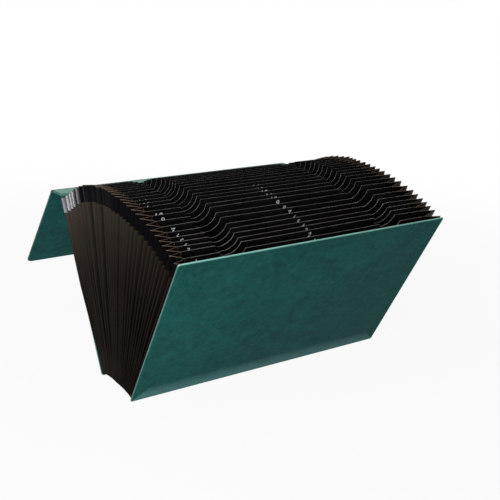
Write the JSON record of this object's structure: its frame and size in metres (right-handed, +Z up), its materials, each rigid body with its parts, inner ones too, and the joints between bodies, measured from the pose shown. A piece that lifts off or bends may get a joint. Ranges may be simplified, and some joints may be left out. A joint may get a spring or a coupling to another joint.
{
  "type": "expanding file folder",
  "caption": "Expanding file folder standing fanned open: pleated pockets with notched dividers between stiff leatherette covers, and a hinged closing flap.",
  "frame": {"origin": "on the surface that the covers stand on, under the middle of the whole folder with its flap", "axes": "+X along the covers to the right seen from the front cover, +Y from the front cover to the flap, +Z up"},
  "size_m": [0.38, 0.4602, 0.2433],
  "materials": {
    "leatherette": "grained dark green leatherette with a satin sheen",
    "bellows_paper": "dark brown pleated kraft paper",
    "black_card": "matt black card with a grey cut edge",
    "glossy_tape": "glossy black tape"
  },
  "bodies": {
    "case": {"front_cover": "leatherette", "back_cover": "leatherette", "back_crease_hinge": "leatherette", "bellows": "bellows_paper", "left_top_tape": "glossy_tape", "right_top_tape": "glossy_tape", "front_end_sheet": "black_card", "back_end_sheet": "black_card", "divider_01": "black_card", "divider_02": "black_card", "divider_03": "black_card", "divider_04": "black_card", "divider_05": "black_card", "divider_06": "black_card", "divider_07": "black_card", "divider_08": "black_card", "divider_09": "black_card", "divider_10": "black_card", "divider_11": "black_card", "divider_12": "black_card", "divider_13": "black_card", "divider_14": "black_card", "divider_15": "black_card", "divider_16": "black_card", "divider_17": "black_card", "divider_18": "black_card", "divider_19": "black_card", "divider_20": "black_card", "divider_21": "black_card", "divider_22": "black_card", "divider_23": "black_card", "divider_24": "black_card", "divider_25": "black_card", "divider_26": "black_card", "divider_27": "black_card", "divider_28": "black_card", "divider_29": "black_card", "divider_30": "black_card"},
    "strip": {"spine_strip": "leatherette", "flap_crease_hinge": "leatherette"},
    "flap": {"closing_flap": "leatherette"}
  },
  "joints": [
    {"name": "back_crease", "type": "hinge", "parent": "case", "child": "strip", "pos_m": [0, 0.08397, 0.2102], "axis": [1, 0, 0], "range_deg": [-30, 145]},
    {"name": "flap_crease", "type": "hinge", "parent": "strip", "child": "flap", "pos_m": [0, 0.11792, 0.2083], "axis": [1, 0, 0], "range_deg": [-40, 65]}
  ]
}
